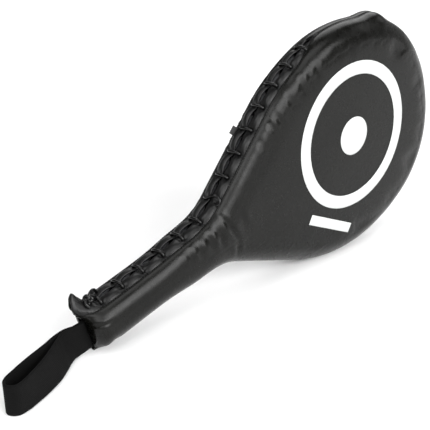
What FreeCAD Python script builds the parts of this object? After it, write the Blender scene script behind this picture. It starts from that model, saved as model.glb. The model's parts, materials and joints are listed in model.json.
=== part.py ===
import FreeCAD, Part
import math
import os

import Sketcher
from FreeCAD import Placement, Rotation, Vector

# Kick paddle: a laced leather cover over two foam pads, a core board whose tang runs between two handle
# scales, and a wrist strap hinged at the butt.
#
# Each piece is drawn flat in the paddle's own coordinates: X runs along the handle from the butt to the tip,
# Y across the blade towards the laced edge, Z through the thickness towards the printed face. One placement
# then stands the finished paddle on its unlaced edge, with the printed face towards -Y. The hinged strap is
# drawn standing, because it leaves the butt and comes down to the floor.

DRIVING = {
    # outline of the paddle, seen on its face
    "overall_length": 400.0,
    "tip_radius": 120.0,
    "tip_arc_deg": 17.0,
    "shoulder_radius": 90.0,
    "shoulder_arc_deg": 64.5,
    "side_radius": 140.0,
    "flank_angle_deg": 35.2,
    "neck_radius": 66.0,
    "handle_half_width": 18.5,
    # section
    "half_thickness": 18.8,
    "rim_radius": 16.0,
    "leather": 1.6,
    "gap_in_body": 0.2,
    # lacing along one edge
    "lacing_end_deg": 90.0,
    "strip_inner": 1.4,
    "strip_outer": 10.0,
    "hole_offset": 5.6,
    "hole_radius": 1.4,
    "lace_radius": 1.2,
    "lace_rise": 1.5,
    "lace_depth": 3.7,
    "first_crossing": 17.0,
    "crossing_pitch": 20.85,
    "crossing_count": 14.0,
    "tongue_depth": 5.5,
    "tongue_thickness": 0.6,
    # seams and hems
    "thread_radius": 0.45,
    "seam_row_one": 11.6,
    "seam_row_two": 14.0,
    "welt_half_width": 0.9,
    "hem_length": 12.0,
    "mouth_foot": 20.5,
    "mouth_top": 28.0,
    "mouth_half": 3.9,
    # inside
    "core_inset": 9.0,
    "core_half_thickness": 2.5,
    "tang_start": 46.0,
    "scale_start": 14.0,
    "scale_end": 112.0,
    "scale_half_width": 12.0,
    "scale_inner": 2.7,
    "scale_outer": 12.0,
    "scale_edge_radius": 6.0,
    "bolt_radius": 2.0,
    "bolt_head_radius": 4.0,
    "bolt_head_height": 1.7,
    "barrel_radius": 3.2,
    "rivet_radius": 2.4,
    "rivet_head_radius": 4.6,
    "rivet_station": 24.0,
    "washer_thickness": 0.8,
    # wrist strap
    "strap_width": 24.5,
    "strap_drop": 3.6,
    "webbing": 1.9,
    "tail_length": 42.0,
    "tail_end": -0.6,
    "hinge_station": -6.7,
    "strap_reach": 80.0,
    "strap_floor_gap": 0.3,
    # print
    "print_thickness": 0.25,
    "ring_station": 287.5,
    "ring_across": 9.5,
    "ring_outer": 65.5,
    "ring_inner": 54.0,
    "centre_radius": 17.0,
    "bar_station": 242.0,
    "bar_across": -56.0,
    "bar_length": 58.0,
    "bar_height": 9.0,
    "bar_turn_deg": -41.5,
    # blank side label
    "label_station": 203.0,
    "label_length": 9.0,
    "label_thickness": 1.0,
    "label_height": 5.0,
}

BOLT_STATIONS = (60.0, 78.0, 96.0)

doc = FreeCAD.newDocument("kick_paddle")
sheet = doc.addObject("Spreadsheet::Sheet", "Dimensions")
for row, (alias, value) in enumerate(DRIVING.items(), start=1):
    sheet.set(f"A{row}", alias)
    sheet.set(f"B{row}", str(value))
    sheet.setAlias(f"B{row}", alias)
doc.recompute()


def dim(alias):
    return float(sheet.get(alias))


def bind(thing, prop, formula):
    """Tie a property to the sheet; the formula names aliases with a leading @."""
    thing.setExpression(prop, formula.replace("@", "Dimensions."))


def along(angle, radius=1.0):
    return Vector(radius * math.cos(angle), radius * math.sin(angle), 0)


# ---------------------------------------------------------------------------------------------------------
# Outline: three tangent arcs from the tip, a straight flank, a hollow neck and the straight handle
# ---------------------------------------------------------------------------------------------------------
TIP_ARC = math.radians(dim("tip_arc_deg"))
SHOULDER_ARC = math.radians(dim("shoulder_arc_deg"))
FLANK = math.radians(dim("flank_angle_deg"))
SIDE_END = math.pi / 2 + FLANK
LACING_END = math.radians(dim("lacing_end_deg"))

TIP_CENTRE = Vector(dim("overall_length") - dim("tip_radius"), 0, 0)
SHOULDER_CENTRE = TIP_CENTRE + along(TIP_ARC, dim("tip_radius") - dim("shoulder_radius"))
SIDE_CENTRE = SHOULDER_CENTRE + along(SHOULDER_ARC, dim("shoulder_radius") - dim("side_radius"))
FLANK_TOP = SIDE_CENTRE + along(SIDE_END, dim("side_radius"))
FLANK_FOOT = FLANK_TOP.x - (FLANK_TOP.y - dim("handle_half_width")) / math.tan(FLANK)
NECK_CENTRE = Vector(
    FLANK_FOOT - dim("neck_radius") * math.tan(FLANK / 2),
    dim("handle_half_width") + dim("neck_radius"),
    0,
)


def arc(centre, radius, start, end, flip=1):
    angles = (start, (start + end) / 2, end)
    points = [centre + along(angle, radius) for angle in angles]
    return Part.Arc(*[Vector(point.x, flip * point.y, 0) for point in points])


def line(start, end, flip=1):
    return Part.LineSegment(Vector(start.x, flip * start.y, 0), Vector(end.x, flip * end.y, 0))


def one_side(inset, butt, flip=1, side_stop=None):
    """Curves of one side from the butt towards the tip, moved inwards by inset.

    The laced side has flip 1 and the other side -1. With side_stop the run ends on the side arc at that
    angle; otherwise it goes on to the tip.
    """
    neck = dim("neck_radius") + inset
    side = dim("side_radius") - inset
    half = dim("handle_half_width") - inset
    neck_end = NECK_CENTRE + along(FLANK - math.pi / 2, neck)
    flank_end = SIDE_CENTRE + along(SIDE_END, side)
    run = [
        line(Vector(butt, half, 0), Vector(NECK_CENTRE.x, half, 0), flip),
        arc(NECK_CENTRE, neck, -math.pi / 2, FLANK - math.pi / 2, flip),
        line(neck_end, flank_end, flip),
    ]
    if side_stop is not None:
        return run + [arc(SIDE_CENTRE, side, SIDE_END, side_stop, flip)]
    return run + [
        arc(SIDE_CENTRE, side, SIDE_END, SHOULDER_ARC, flip),
        arc(SHOULDER_CENTRE, dim("shoulder_radius") - inset, SHOULDER_ARC, TIP_ARC, flip),
        arc(TIP_CENTRE, dim("tip_radius") - inset, TIP_ARC, 0, flip),
    ]


def whole_outline(inset, butt):
    half = dim("handle_half_width") - inset
    closing = line(Vector(butt, -half, 0), Vector(butt, half, 0))
    return one_side(inset, butt) + one_side(inset, butt, flip=-1) + [closing]


def outline_face(inset, butt):
    edges = [curve.toShape() for curve in whole_outline(inset, butt)]
    return Part.Face(Part.Wire(Part.__sortEdges__(edges)))


def slab(inset, butt, low, high):
    """The outline as a flat plate between two heights."""
    face = outline_face(inset, butt)
    face.translate(Vector(0, 0, low))
    return face.extrude(Vector(0, 0, high - low))


def plump(inset, butt):
    """The padded shape, moved inwards by inset: a plate with its rim rounded on both faces."""
    top = dim("half_thickness") - inset
    plate = slab(inset, butt, -top, top)
    rim = [
        edge
        for edge in plate.Edges
        if abs(abs(edge.CenterOfMass.z) - top) < 1e-6 and edge.BoundBox.XMax > butt + 1e-3
    ]
    return plate.makeFillet(dim("rim_radius") - inset, rim)


def block(x_low, x_high, y_low, y_high, z_low, z_high):
    return Part.makeBox(
        x_high - x_low, y_high - y_low, z_high - z_low, Vector(x_low, y_low, z_low)
    )


REACH = dim("overall_length") + 50
LACING_STATION = SIDE_CENTRE.x + dim("side_radius") * math.cos(LACING_END)


def lacing_zone(half_height):
    """The region of the laced edge that opens for the lace."""
    return block(-10, LACING_STATION, 0, REACH, -half_height, half_height)


def rim_place(run):
    """Point and outward direction on the laced edge, at a length run along it from the butt."""
    straight = NECK_CENTRE.x
    neck = dim("neck_radius") * FLANK
    flank = (FLANK_TOP - NECK_CENTRE - along(FLANK - math.pi / 2, dim("neck_radius"))).Length
    if run < straight:
        return Vector(run, dim("handle_half_width"), 0), Vector(0, 1, 0)
    if run < straight + neck:
        inward = along((run - straight) / dim("neck_radius") - math.pi / 2)
        return NECK_CENTRE + inward * dim("neck_radius"), -inward
    outward = along(SIDE_END)
    if run < straight + neck + flank:
        left = straight + neck + flank - run
        return FLANK_TOP - along(FLANK, left), outward
    turn = (run - straight - neck - flank) / dim("side_radius")
    outward = along(SIDE_END - turn)
    return SIDE_CENTRE + outward * dim("side_radius"), outward


# ---------------------------------------------------------------------------------------------------------
# How the finished paddle stands: blade rim and the foot of the butt's mouth both touch the floor
# ---------------------------------------------------------------------------------------------------------
HEEL = Vector(0, -dim("mouth_foot"), 0)
LOWER_SIDE_CENTRE = Vector(SIDE_CENTRE.x, -SIDE_CENTRE.y, 0)
to_centre = LOWER_SIDE_CENTRE - HEEL
LEAN = math.asin(dim("side_radius") / to_centre.Length) - math.atan2(to_centre.y, to_centre.x)
STAND = Rotation(Vector(0, 1, 0), -math.degrees(LEAN)) * Rotation(Vector(1, 0, 0), 90)
HEEL_HEIGHT = -STAND.multVec(HEEL).z

nodes = {}


def keep(thing, name):
    thing.Label = name
    nodes[name] = thing
    return thing


def feature(name, shape):
    """A piece whose form no primitive or sketch gives: its shape is computed from the sheet."""
    thing = doc.addObject("Part::Feature", name + "_form")
    thing.Shape = shape
    return thing


def cut(name, base, tool):
    thing = doc.addObject("Part::Cut", name + "_cut")
    thing.Base = base
    thing.Tool = tool
    return thing


def common(name, base, tool):
    thing = doc.addObject("Part::Common", name + "_common")
    thing.Base = base
    thing.Tool = tool
    return thing


def joined(name, parts):
    thing = doc.addObject("Part::Compound", name + "_group")
    thing.Links = parts
    return thing


# ---------------------------------------------------------------------------------------------------------
# Leather cover: two shells, the lacing strips, the welt between the shells, and the hems. The hems are the
# cover's last stretch, drawn together from the round handle to a flat mouth over the strap.
# ---------------------------------------------------------------------------------------------------------
leather = dim("leather")
outer_form = feature("outer", plump(0, 0))
inner_form = feature("inner", plump(leather, -1))
skin = cut("skin", outer_form, inner_form)
opening = feature("opening", lacing_zone(dim("strip_outer") + dim("gap_in_body")))
opened_skin = cut("opened_skin", skin, opening)
laced_skin = common("laced_skin", skin, feature("laced_edge", lacing_zone(dim("strip_outer"))))

holes = []
for index in range(int(dim("crossing_count"))):
    foot, outward = rim_place(dim("first_crossing") + index * dim("crossing_pitch"))
    for side in (1, -1):
        start = foot + Vector(0, 0, side * dim("hole_offset")) - outward * 4
        holes.append(Part.makeCylinder(dim("hole_radius"), 8, start, outward))
hole_tools = feature("holes", Part.makeCompound(holes))

welt = dim("welt_half_width")
for label, side in (("front", 1), ("back", -1)):
    low, high = sorted((side * (welt + 0.05), side * 60))
    cover_start = dim("hem_length") + 0.3
    half_space = feature(label + "_half", block(cover_start, REACH, -REACH, REACH, low, high))
    keep(common(label + "_cover", opened_skin, half_space), label + "_cover")
    low, high = sorted((side * dim("strip_inner"), side * 60))
    strip_space = feature(label + "_strip_half", block(cover_start, REACH, -REACH, REACH, low, high))
    strip = common(label + "_strip", laced_skin, strip_space)
    keep(cut(label + "_strip_holes", strip, hole_tools), label + "_lacing_strip")

welt_start = dim("hem_length") + 0.3
welt_ring = slab(0, welt_start, -welt, welt).cut(slab(leather, -1, -welt, welt))
keep(cut("welt", feature("welt_ring", welt_ring), opening), "rim_seam_welt")


def hem_points(inset):
    """Points round the padded section where the hem begins."""
    section = plump(inset, 0).slice(Vector(1, 0, 0), dim("hem_length"))[0]
    return section.discretize(Number=49)[:-1]


def mouth_section(ring, station, foot, top, half):
    """The section drawn together towards a flat mouth, at a station between the butt and the hem's end."""
    near = 1 - station / dim("hem_length")
    spread, closing = near**1.6, 1 - math.sqrt(1 - near**2)
    points = []
    for point in ring:
        angle = math.atan2(point.z, point.y)
        flat_y = (top - foot) / 2 + (top + foot) / 2 * math.cos(angle)
        flat_z = math.copysign(half * (1 - abs(math.cos(angle)) ** 3) ** (1 / 3), point.z)
        y = point.y + spread * (flat_y - point.y)
        points.append(Vector(station, y, point.z + closing * (flat_z - point.z)))
    curve = Part.BSplineCurve()
    curve.interpolate(Points=points, PeriodicFlag=True)
    return Part.Wire(curve.toShape())


def mouth_form(ring, spread):
    sections = [mouth_section(ring, station, *spread) for station in (dim("hem_length"), 8, 4, 1.5, 0)]
    return Part.makeLoft(sections, True, True)


mouth = (dim("mouth_foot"), dim("mouth_top"), dim("mouth_half"))
lining = (dim("mouth_foot") - 1.4, dim("mouth_top") - 15, dim("mouth_half") - 1.2)
hem_outer = feature("hem_outer", mouth_form(hem_points(0), mouth))
hem_ring = cut("hem_ring", hem_outer, feature("hem_inner", mouth_form(hem_points(leather), lining)))
for label, side in (("front", 1), ("back", -1)):
    low, high = sorted((side * 0.3, side * 60))
    half_space = feature(label + "_hem_half", block(-20, 40, -REACH, REACH, low, high))
    keep(common(label + "_hem", hem_ring, half_space), label + "_butt_hem")

# Under-flap that keeps the lace off the foam
tongue_outer = dim("tongue_depth")
tongue_inner = tongue_outer + dim("tongue_thickness")
tongue_start = dim("hem_length") + 1
tongue = slab(tongue_outer, tongue_start, -9, 9).cut(slab(tongue_inner, 0, -9, 9))
tongue = tongue.common(block(tongue_start, LACING_STATION - 2, 5, REACH, -9, 9))
keep(feature("tongue", tongue), "lacing_tongue")
channel = slab(-1, -5, -9.4, 9.4).cut(slab(tongue_inner + 0.2, -6, -9.4, 9.4))
channel = channel.common(block(-6, LACING_STATION, 5, REACH, -10, 10))
channel_form = feature("lace_channel", channel)

# ---------------------------------------------------------------------------------------------------------
# Lace: a bar over the gap at each pair of holes, and a slanting run below it to the next pair
# ---------------------------------------------------------------------------------------------------------
radius = dim("lace_radius")


def rod(start, end, thickness):
    run = end - start
    return Part.makeCylinder(thickness, run.Length, start, run)


def chain(points, thickness):
    """Round cord through the points: straight lengths with a ball at each turn."""
    solids = [rod(a, b, thickness) for a, b in zip(points, points[1:])]
    solids += [Part.makeSphere(thickness, point) for point in points]
    return solids[0].multiFuse(solids[1:])


lace_points = []
for index in range(int(dim("crossing_count"))):
    foot, outward = rim_place(dim("first_crossing") + index * dim("crossing_pitch"))
    for side, height in ((1, -1), (1, 1), (-1, 1), (-1, -1)):
        rise = dim("lace_rise") if height > 0 else -dim("lace_depth")
        lace_points.append(foot + outward * rise + Vector(0, 0, side * dim("hole_offset")))
keep(feature("lace", chain(lace_points[1:], radius)), "lace")

# The lace's end is tied over the first front hole
knot_foot, knot_outward = rim_place(dim("first_crossing") - 8)
knot_centre = knot_foot + knot_outward * 5.8 + Vector(0, 0, dim("hole_offset"))
knot = Part.makeTorus(2.2, 1.25, knot_centre, Vector(1, 0, 0))
tail_one = chain([knot_centre, knot_centre + Vector(-5, 1.5, 1), knot_centre + Vector(-9, 1, 2)], 1.1)
tail_two = chain([knot_centre, knot_centre + Vector(-4, 4.5, -4), knot_centre + Vector(-7, 6.5, -6)], 1.1)
keep(feature("knot", knot.multiFuse([tail_one, tail_two])), "lace_knot")

# ---------------------------------------------------------------------------------------------------------
# Seam threads
# ---------------------------------------------------------------------------------------------------------
thread = dim("thread_radius")


def swept(edges, thickness):
    path = Part.Wire(edges)
    start = path.OrderedVertexes[0].Point
    first = path.OrderedEdges[0]
    way = first.tangentAt(first.FirstParameter)
    ring = Part.Wire(Part.makeCircle(thickness, start, way))
    return path.makePipeShell([ring], True, False)


def on_rim(level, lift):
    """Inset and height of a point held off the rounded rim by lift, where the rim is at that level."""
    tilt = math.asin((level - dim("half_thickness")) / dim("rim_radius") + 1)
    inset = dim("rim_radius") * (1 - math.cos(tilt)) - lift * math.cos(tilt)
    return inset, level + lift * math.sin(tilt)


for label, side in (("front", 1), ("back", -1)):
    rows = []
    for number, alias in ((1, "seam_row_one"), (2, "seam_row_two")):
        inset, height = on_rim(dim(alias), thread + 0.02)
        run = one_side(inset, dim("hem_length") + 1, side_stop=LACING_END)
        row = swept([curve.toShape() for curve in run], thread)
        row.translate(Vector(0, 0, side * height))
        rows.append(feature(f"{label}_row_{number}", row))
    keep(joined(label + "_seam", rows), label + "_seam_thread")

hem_rows = []
hem_lift = thread + 0.15
hem_line = hem_points(-hem_lift)
for number, station in enumerate((3.0, 8.5), start=1):
    hoop = mouth_section(hem_line, station, *(reach + hem_lift for reach in mouth))
    hem_rows.append(feature(f"hem_row_{number}", swept(hoop.OrderedEdges, thread)))
keep(joined("hem_rows", hem_rows), "butt_hem_thread")

# ---------------------------------------------------------------------------------------------------------
# Inside: core board, foam pads, handle scales, foam wrap
# ---------------------------------------------------------------------------------------------------------


def body_with_sketch(name, role):
    """A PartDesign body and an empty sketch on one of its origin planes."""
    body = doc.addObject("PartDesign::Body", name + "_body")
    sketch = body.newObject("Sketcher::SketchObject", name + "_sketch")
    plane = next(item for item in body.Origin.OriginFeatures if item.Role == role)
    sketch.AttachmentSupport = [(plane, "")]
    sketch.MapMode = "FlatFace"
    return body, sketch


def bound(sketch, constraint, formula):
    index = sketch.addConstraint(constraint)
    bind(sketch, f"Constraints[{index}]", formula)


def rectangle(sketch, x_low, x_high, y_low, y_high):
    """A rectangle whose sides are formulas of the sheet."""
    corners = [Vector(0, 0, 0), Vector(1, 0, 0), Vector(1, 1, 0), Vector(0, 1, 0)]
    for start, end in zip(corners, corners[1:] + corners[:1]):
        sketch.addGeometry(Part.LineSegment(start, end))
    for side in range(4):
        sketch.addConstraint(Sketcher.Constraint("Coincident", side, 2, (side + 1) % 4, 1))
        kind = "Vertical" if side % 2 else "Horizontal"
        sketch.addConstraint(Sketcher.Constraint(kind, side))
    bound(sketch, Sketcher.Constraint("DistanceX", -1, 1, 0, 1, 1.0), x_low)
    bound(sketch, Sketcher.Constraint("DistanceX", -1, 1, 1, 1, 2.0), x_high)
    bound(sketch, Sketcher.Constraint("DistanceY", -1, 1, 0, 1, 1.0), y_low)
    bound(sketch, Sketcher.Constraint("DistanceY", -1, 1, 2, 1, 2.0), y_high)


def circle(sketch, radius_formula):
    index = sketch.addGeometry(Part.Circle(Vector(0, 0, 0), Vector(0, 0, 1), 1.0))
    sketch.addConstraint(Sketcher.Constraint("Coincident", index, 3, -1, 1))
    bound(sketch, Sketcher.Constraint("Radius", index, 1.0), radius_formula)


def pad(body, sketch, length, start=None):
    """Pad of a sketch; start, a formula, lifts the sketch off its plane first."""
    if start is not None:
        bind(sketch, "AttachmentOffset.Base.z", start)
    solid = body.newObject("PartDesign::Pad", sketch.Name.replace("sketch", "pad"))
    solid.Profile = sketch
    bind(solid, "Length", length)
    sketch.Visibility = False
    return solid


def cylinder(name, radius_formula, x, y, low, high):
    """A cylinder along Z with its radius, low end and high end as formulas of the sheet."""
    thing = doc.addObject("Part::Cylinder", name)
    bind(thing, "Radius", radius_formula)
    bind(thing, "Height", f"({high}) - ({low})")
    thing.Placement.Base = Vector(x, y, 0)
    bind(thing, "Placement.Base.z", low)
    return thing


def fused(name, shapes):
    thing = doc.addObject("Part::MultiFuse", name + "_fuse")
    thing.Shapes = shapes
    return thing


# Core board with its tang
core_body, core_sketch = body_with_sketch("core", "XY_Plane")
for curve in whole_outline(dim("core_inset"), dim("tang_start")):
    geometry = core_sketch.addGeometry(curve)
    core_sketch.addConstraint(Sketcher.Constraint("Block", geometry))
pad(core_body, core_sketch, "2 * @core_half_thickness", "-@core_half_thickness")

bolt_holes = []
for number, station in enumerate(BOLT_STATIONS, start=1):
    low, high = "-@half_thickness", "@half_thickness"
    bolt_holes.append(cylinder(f"bolt_hole_{number}", "@barrel_radius + 0.1", station, 0, low, high))
bolt_hole_tools = joined("bolt_holes", bolt_holes)
keep(cut("core", core_body, bolt_hole_tools), "core_board")

# Handle scales, counterbored for the bolt heads and the strap rivet
head_seat = "@scale_outer - @bolt_head_height - @washer_thickness"
rivet_x = dim("rivet_station")
for label, side in (("front", ""), ("back", "-")):
    body, sketch = body_with_sketch(label + "_scale", "YZ_Plane")
    low, high = ("@scale_inner", "@scale_outer") if side == "" else ("-@scale_outer", "-@scale_inner")
    rectangle(sketch, "-@scale_half_width", "@scale_half_width", low, high)
    stock = pad(body, sketch, "@scale_end - @scale_start", "@scale_start")
    doc.recompute()
    outer_level = dim("scale_outer") * (1 if side == "" else -1)
    long_edges = []
    for number, edge in enumerate(stock.Shape.Edges, start=1):
        level = edge.CenterOfMass.z
        if abs(level - outer_level) < 1e-6 and edge.BoundBox.XLength > 50:
            long_edges.append(f"Edge{number}")
    rounding = body.newObject("PartDesign::Fillet", label + "_scale_rounding")
    rounding.Base = (stock, long_edges)
    bind(rounding, "Radius", "@scale_edge_radius")
    seats = [bolt_hole_tools]
    low, high = (head_seat, "@half_thickness") if side == "" else ("-@half_thickness", f"-({head_seat})")
    for number, station in enumerate(BOLT_STATIONS, start=1):
        radius_formula = "@bolt_head_radius + 0.2"
        seats.append(cylinder(f"{label}_seat_{number}", radius_formula, station, 0, low, high))
    radius_formula = "@rivet_head_radius + 0.2"
    seats.append(cylinder(label + "_rivet_seat", radius_formula, rivet_x, 0, low, high))
    low, high = "-@half_thickness", "@half_thickness"
    seats.append(cylinder(label + "_rivet_hole", "@rivet_radius + 0.1", rivet_x, 0, low, high))
    keep(cut(label + "_scale", body, joined(label + "_seats", seats)), label + "_handle_scale")

# Bolts and their barrel nuts
bolts = []
barrels = []
for number, station in enumerate(BOLT_STATIONS, start=1):
    seat = head_seat + " + 0.05"
    top = seat + " + @bolt_head_height"
    head = cylinder(f"bolt_head_{number}", "@bolt_head_radius", station, 0, seat, top)
    shank = cylinder(f"bolt_shank_{number}", "@bolt_radius", station, 0, "-8", seat + " + 0.5")
    bolts.append(fused(f"bolt_{number}", [head, shank]))
    cap = cylinder(f"nut_head_{number}", "@bolt_head_radius", station, 0, f"-({top})", f"-({seat})")
    tube = cylinder(f"nut_tube_{number}", "@barrel_radius", station, 0, f"-({seat}) - 0.5", "3")
    bore = cylinder(f"nut_bore_{number}", "@bolt_radius + 0.1", station, 0, "-8.4", "4")
    barrels.append(cut(f"nut_{number}", fused(f"nut_body_{number}", [cap, tube]), bore))
keep(joined("bolts", bolts), "handle_bolts")
keep(joined("nuts", barrels), "handle_barrel_nuts")

# Rivet through scales and strap tail, with a washer under each head
washer_top = head_seat + " + @washer_thickness"
washers = []
for label, low, high in (
    ("front", head_seat + " + 0.02", washer_top),
    ("back", f"-({washer_top})", f"-({head_seat}) - 0.02"),
):
    disc = cylinder(label + "_washer_disc", "@rivet_head_radius", rivet_x, 0, low, high)
    bore = cylinder(label + "_washer_bore", "@rivet_radius + 0.1", rivet_x, 0, "-40", "40")
    washers.append(cut(label + "_washer", disc, bore))
keep(joined("washers", washers), "rivet_washers")
rivet_top = washer_top + " + 0.02"
rivet_crown = rivet_top + " + 1.2"
shank = cylinder("rivet_shank", "@rivet_radius", rivet_x, 0, f"-({rivet_top}) - 0.5", rivet_top + " + 0.5")
crown = cylinder("rivet_crown", "@rivet_head_radius - 0.8", rivet_x, 0, rivet_top, rivet_crown)
clench = cylinder(
    "rivet_clench", "@rivet_head_radius - 1.2", rivet_x, 0, f"-({rivet_crown})", f"-({rivet_top})"
)
keep(fused("rivet", [shank, crown, clench]), "strap_rivet")

# Foam wrap around the scales, and the two blade pads
stuffing = plump(leather + dim("gap_in_body"), 2.2)
bar_half = dim("scale_outer") + 0.15
bar = Part.makeBox(dim("scale_end") + 20, 2 * bar_half, 2 * bar_half, Vector(-5, -bar_half, -bar_half))
bar = bar.makeFillet(dim("scale_edge_radius"), [edge for edge in bar.Edges if edge.BoundBox.XLength > 50])
tail_low = -dim("strap_width") / 2 - dim("strap_drop") - 0.4
tail_high = dim("strap_width") / 2 - dim("strap_drop") + 0.4
bar = bar.fuse(block(-5, dim("tail_length") + 1, tail_low, 0, -dim("scale_inner"), dim("scale_inner")))
wrap_space = block(dim("hem_length") + 0.5, dim("scale_end"), -REACH, REACH, -60, 60)
wrap = cut("wrap", feature("wrap_blank", stuffing.common(wrap_space).cut(bar)), channel_form)
keep(wrap, "handle_foam_wrap")

core_room = slab(dim("core_inset") - 0.2, -10, -dim("core_half_thickness") - 0.1, dim("core_half_thickness") + 0.1)
pad_tools = joined("pad_tools", [channel_form, feature("core_room", core_room)])
for label, low, high in (("front", 0.05, 60), ("back", -60, -0.05)):
    space = block(dim("scale_end") + 0.5, REACH, -REACH, REACH, low, high)
    blank = feature(label + "_pad_blank", stuffing.common(space))
    keep(cut(label + "_pad", blank, pad_tools), label + "_foam_pad")

# Strap tail: two layers of webbing clamped between the scales, sewn through in a box
tail_layers = []
for label, low in (("front", "0.05"), ("back", "-@webbing - 0.05")):
    layer = doc.addObject("Part::Box", label + "_tail_layer")
    bind(layer, "Length", "@tail_length - @tail_end")
    bind(layer, "Width", "@strap_width")
    bind(layer, "Height", "@webbing")
    bind(layer, "Placement.Base.x", "@tail_end")
    bind(layer, "Placement.Base.y", "-@strap_width / 2 - @strap_drop")
    bind(layer, "Placement.Base.z", low)
    bore = cylinder(label + "_tail_bore", "@rivet_radius + 0.1", rivet_x, 0, "-40", "40")
    tail_layers.append(cut(label + "_tail", layer, bore))
keep(joined("tail", tail_layers), "strap_tail")

stitch_low = tail_low + 2.9
stitch_high = tail_high - 2.9
box_corners = [
    Vector(x, y, dim("webbing") + 0.3) for x, y in (
        (8, stitch_low), (40, stitch_low), (40, stitch_high), (8, stitch_high), (8, stitch_low)
    )
]
box_front = chain(box_corners, 0.25)
box_back = box_front.mirror(Vector(), Vector(0, 0, 1))
keep(feature("tail_stitches", Part.makeCompound([box_front, box_back])), "strap_tail_stitches")

# ---------------------------------------------------------------------------------------------------------
# Print on the face: a plain ring, a centre spot and a bar
# ---------------------------------------------------------------------------------------------------------
ring_body, ring_sketch = body_with_sketch("ring", "XY_Plane")
circle(ring_sketch, "@ring_outer")
circle(ring_sketch, "@ring_inner")
pad(ring_body, ring_sketch, "@print_thickness")
keep(ring_body, "print_ring")

spot_body, spot_sketch = body_with_sketch("spot", "XY_Plane")
circle(spot_sketch, "@centre_radius")
pad(spot_body, spot_sketch, "@print_thickness")
keep(spot_body, "print_centre_spot")

bar_body, bar_sketch = body_with_sketch("bar", "XY_Plane")
rectangle(bar_sketch, "-@bar_length / 2", "@bar_length / 2", "-@bar_height / 2", "@bar_height / 2")
pad(bar_body, bar_sketch, "@print_thickness")
keep(bar_body, "print_bar")

face_level = dim("half_thickness") + 0.01
ring_place = Placement(Vector(dim("ring_station"), dim("ring_across"), face_level), Rotation())
bar_turn = Rotation(Vector(0, 0, 1), dim("bar_turn_deg"))
local_places = {
    "print_ring": ring_place,
    "print_centre_spot": ring_place,
    "print_bar": Placement(Vector(dim("bar_station"), dim("bar_across"), face_level), bar_turn),
}

# Blank label sewn into the back edge of the lacing
label_foot, label_out = rim_place(dim("label_station"))
label_box = doc.addObject("Part::Box", "label_box")
bind(label_box, "Length", "@label_length")
bind(label_box, "Width", "@label_height")
bind(label_box, "Height", "@label_thickness")
keep(label_box, "side_label")
label_drop, label_level = on_rim(dim("half_thickness") - 3.2, 0.8)
local_places["side_label"] = Placement(
    label_foot - label_out * label_drop - Vector(0, 0, label_level),
    Rotation(Vector(-label_out.y, label_out.x, 0) * -1, label_out, Vector(0, 0, 1), "XYZ"),
)

# ---------------------------------------------------------------------------------------------------------
# Wrist strap: a loop of webbing lying open on its edge, sewn together where it meets the hinge
# ---------------------------------------------------------------------------------------------------------
hinge = STAND.multVec(Vector(dim("hinge_station"), -dim("strap_drop"), 0)) + Vector(0, 0, HEEL_HEIGHT)
half_width = dim("strap_width") / 2
half_web = dim("webbing") / 2
drop_to_floor = hinge.z - dim("strap_floor_gap")
slope = math.asin(drop_to_floor / math.hypot(dim("strap_reach"), half_width)) - math.atan2(
    half_width, dim("strap_reach")
)
outwards = Vector(-math.cos(slope), 0, -math.sin(slope))
sideways = Vector(0, -1, 0)
upwards = Vector(-math.sin(slope), 0, math.cos(slope))

# Middle line of the webbing, out along its front run and home along its back run
root = 10.0
loop_line = [
    (root, half_web), (15, 2.9), (22, 7.6), (33, 15.4), (46, 23), (58, 29), (68, 33.6), (75, 34),
    (79, 29.5), (76.5, 24.4), (66, 19.5), (50, 13.8), (34, 8.6), (20, 2.6), (15, 0.1), (root, -half_web),
]


def ribbon(points, half):
    """A band of even thickness along a smooth curve through the points."""
    middle = Part.BSplineCurve()
    middle.interpolate([Vector(x, y, 0) for x, y in points])
    sides = []
    for offset in (half, -half):
        places = []
        for point in [Vector(x, y, 0) for x, y in points]:
            way = middle.tangent(middle.parameter(point))[0]
            places.append(point + Vector(-way.y, way.x, 0).normalize() * offset)
        side = Part.BSplineCurve()
        side.interpolate(places)
        sides.append(side.toShape())
    ends = [line(sides[0].Vertexes[i].Point, sides[1].Vertexes[i].Point).toShape() for i in (0, 1)]
    return Part.Face(Part.Wire(Part.__sortEdges__([sides[0], ends[0], sides[1], ends[1]])))


loop_band = ribbon(loop_line, half_web).extrude(Vector(0, 0, dim("strap_width")))
loop_root = Part.makeBox(root + 1, 4 * half_web, dim("strap_width"), Vector(0, -2 * half_web, 0))
loop_eye = Part.makeCylinder(2 * half_web, dim("strap_width"))
keep(feature("strap_loop", loop_band.multiFuse([loop_root, loop_eye])), "wrist_strap")
strap_place = Placement(hinge - upwards * half_width, Rotation(outwards, sideways, upwards, "XYZ"))

# ---------------------------------------------------------------------------------------------------------
# Place every piece, check it and write it
# ---------------------------------------------------------------------------------------------------------
doc.recompute()
standing = Placement(Vector(0, 0, HEEL_HEIGHT), STAND)
for name, thing in nodes.items():
    if name == "wrist_strap":
        thing.Placement = strap_place
    else:
        thing.Placement = standing * local_places.get(name, Placement())
doc.recompute()

# The origin is on the floor, under the middle of the whole object
whole = Part.makeCompound([thing.Shape for thing in nodes.values()]).optimalBoundingBox(False, False)
shift = Vector(-whole.Center.x, -whole.Center.y, -whole.ZMin)
for thing in nodes.values():
    thing.Placement.Base = thing.Placement.Base + shift
doc.recompute()

for thing in doc.Objects:
    assert not {"Invalid", "Error"} & set(thing.State), f"{thing.Name} failed: {thing.State}"
for name, thing in nodes.items():
    assert not thing.Shape.isNull() and thing.Shape.isValid(), f"{name} has no valid shape"
    assert thing.Shape.Solids, f"{name} has no solid"

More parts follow.
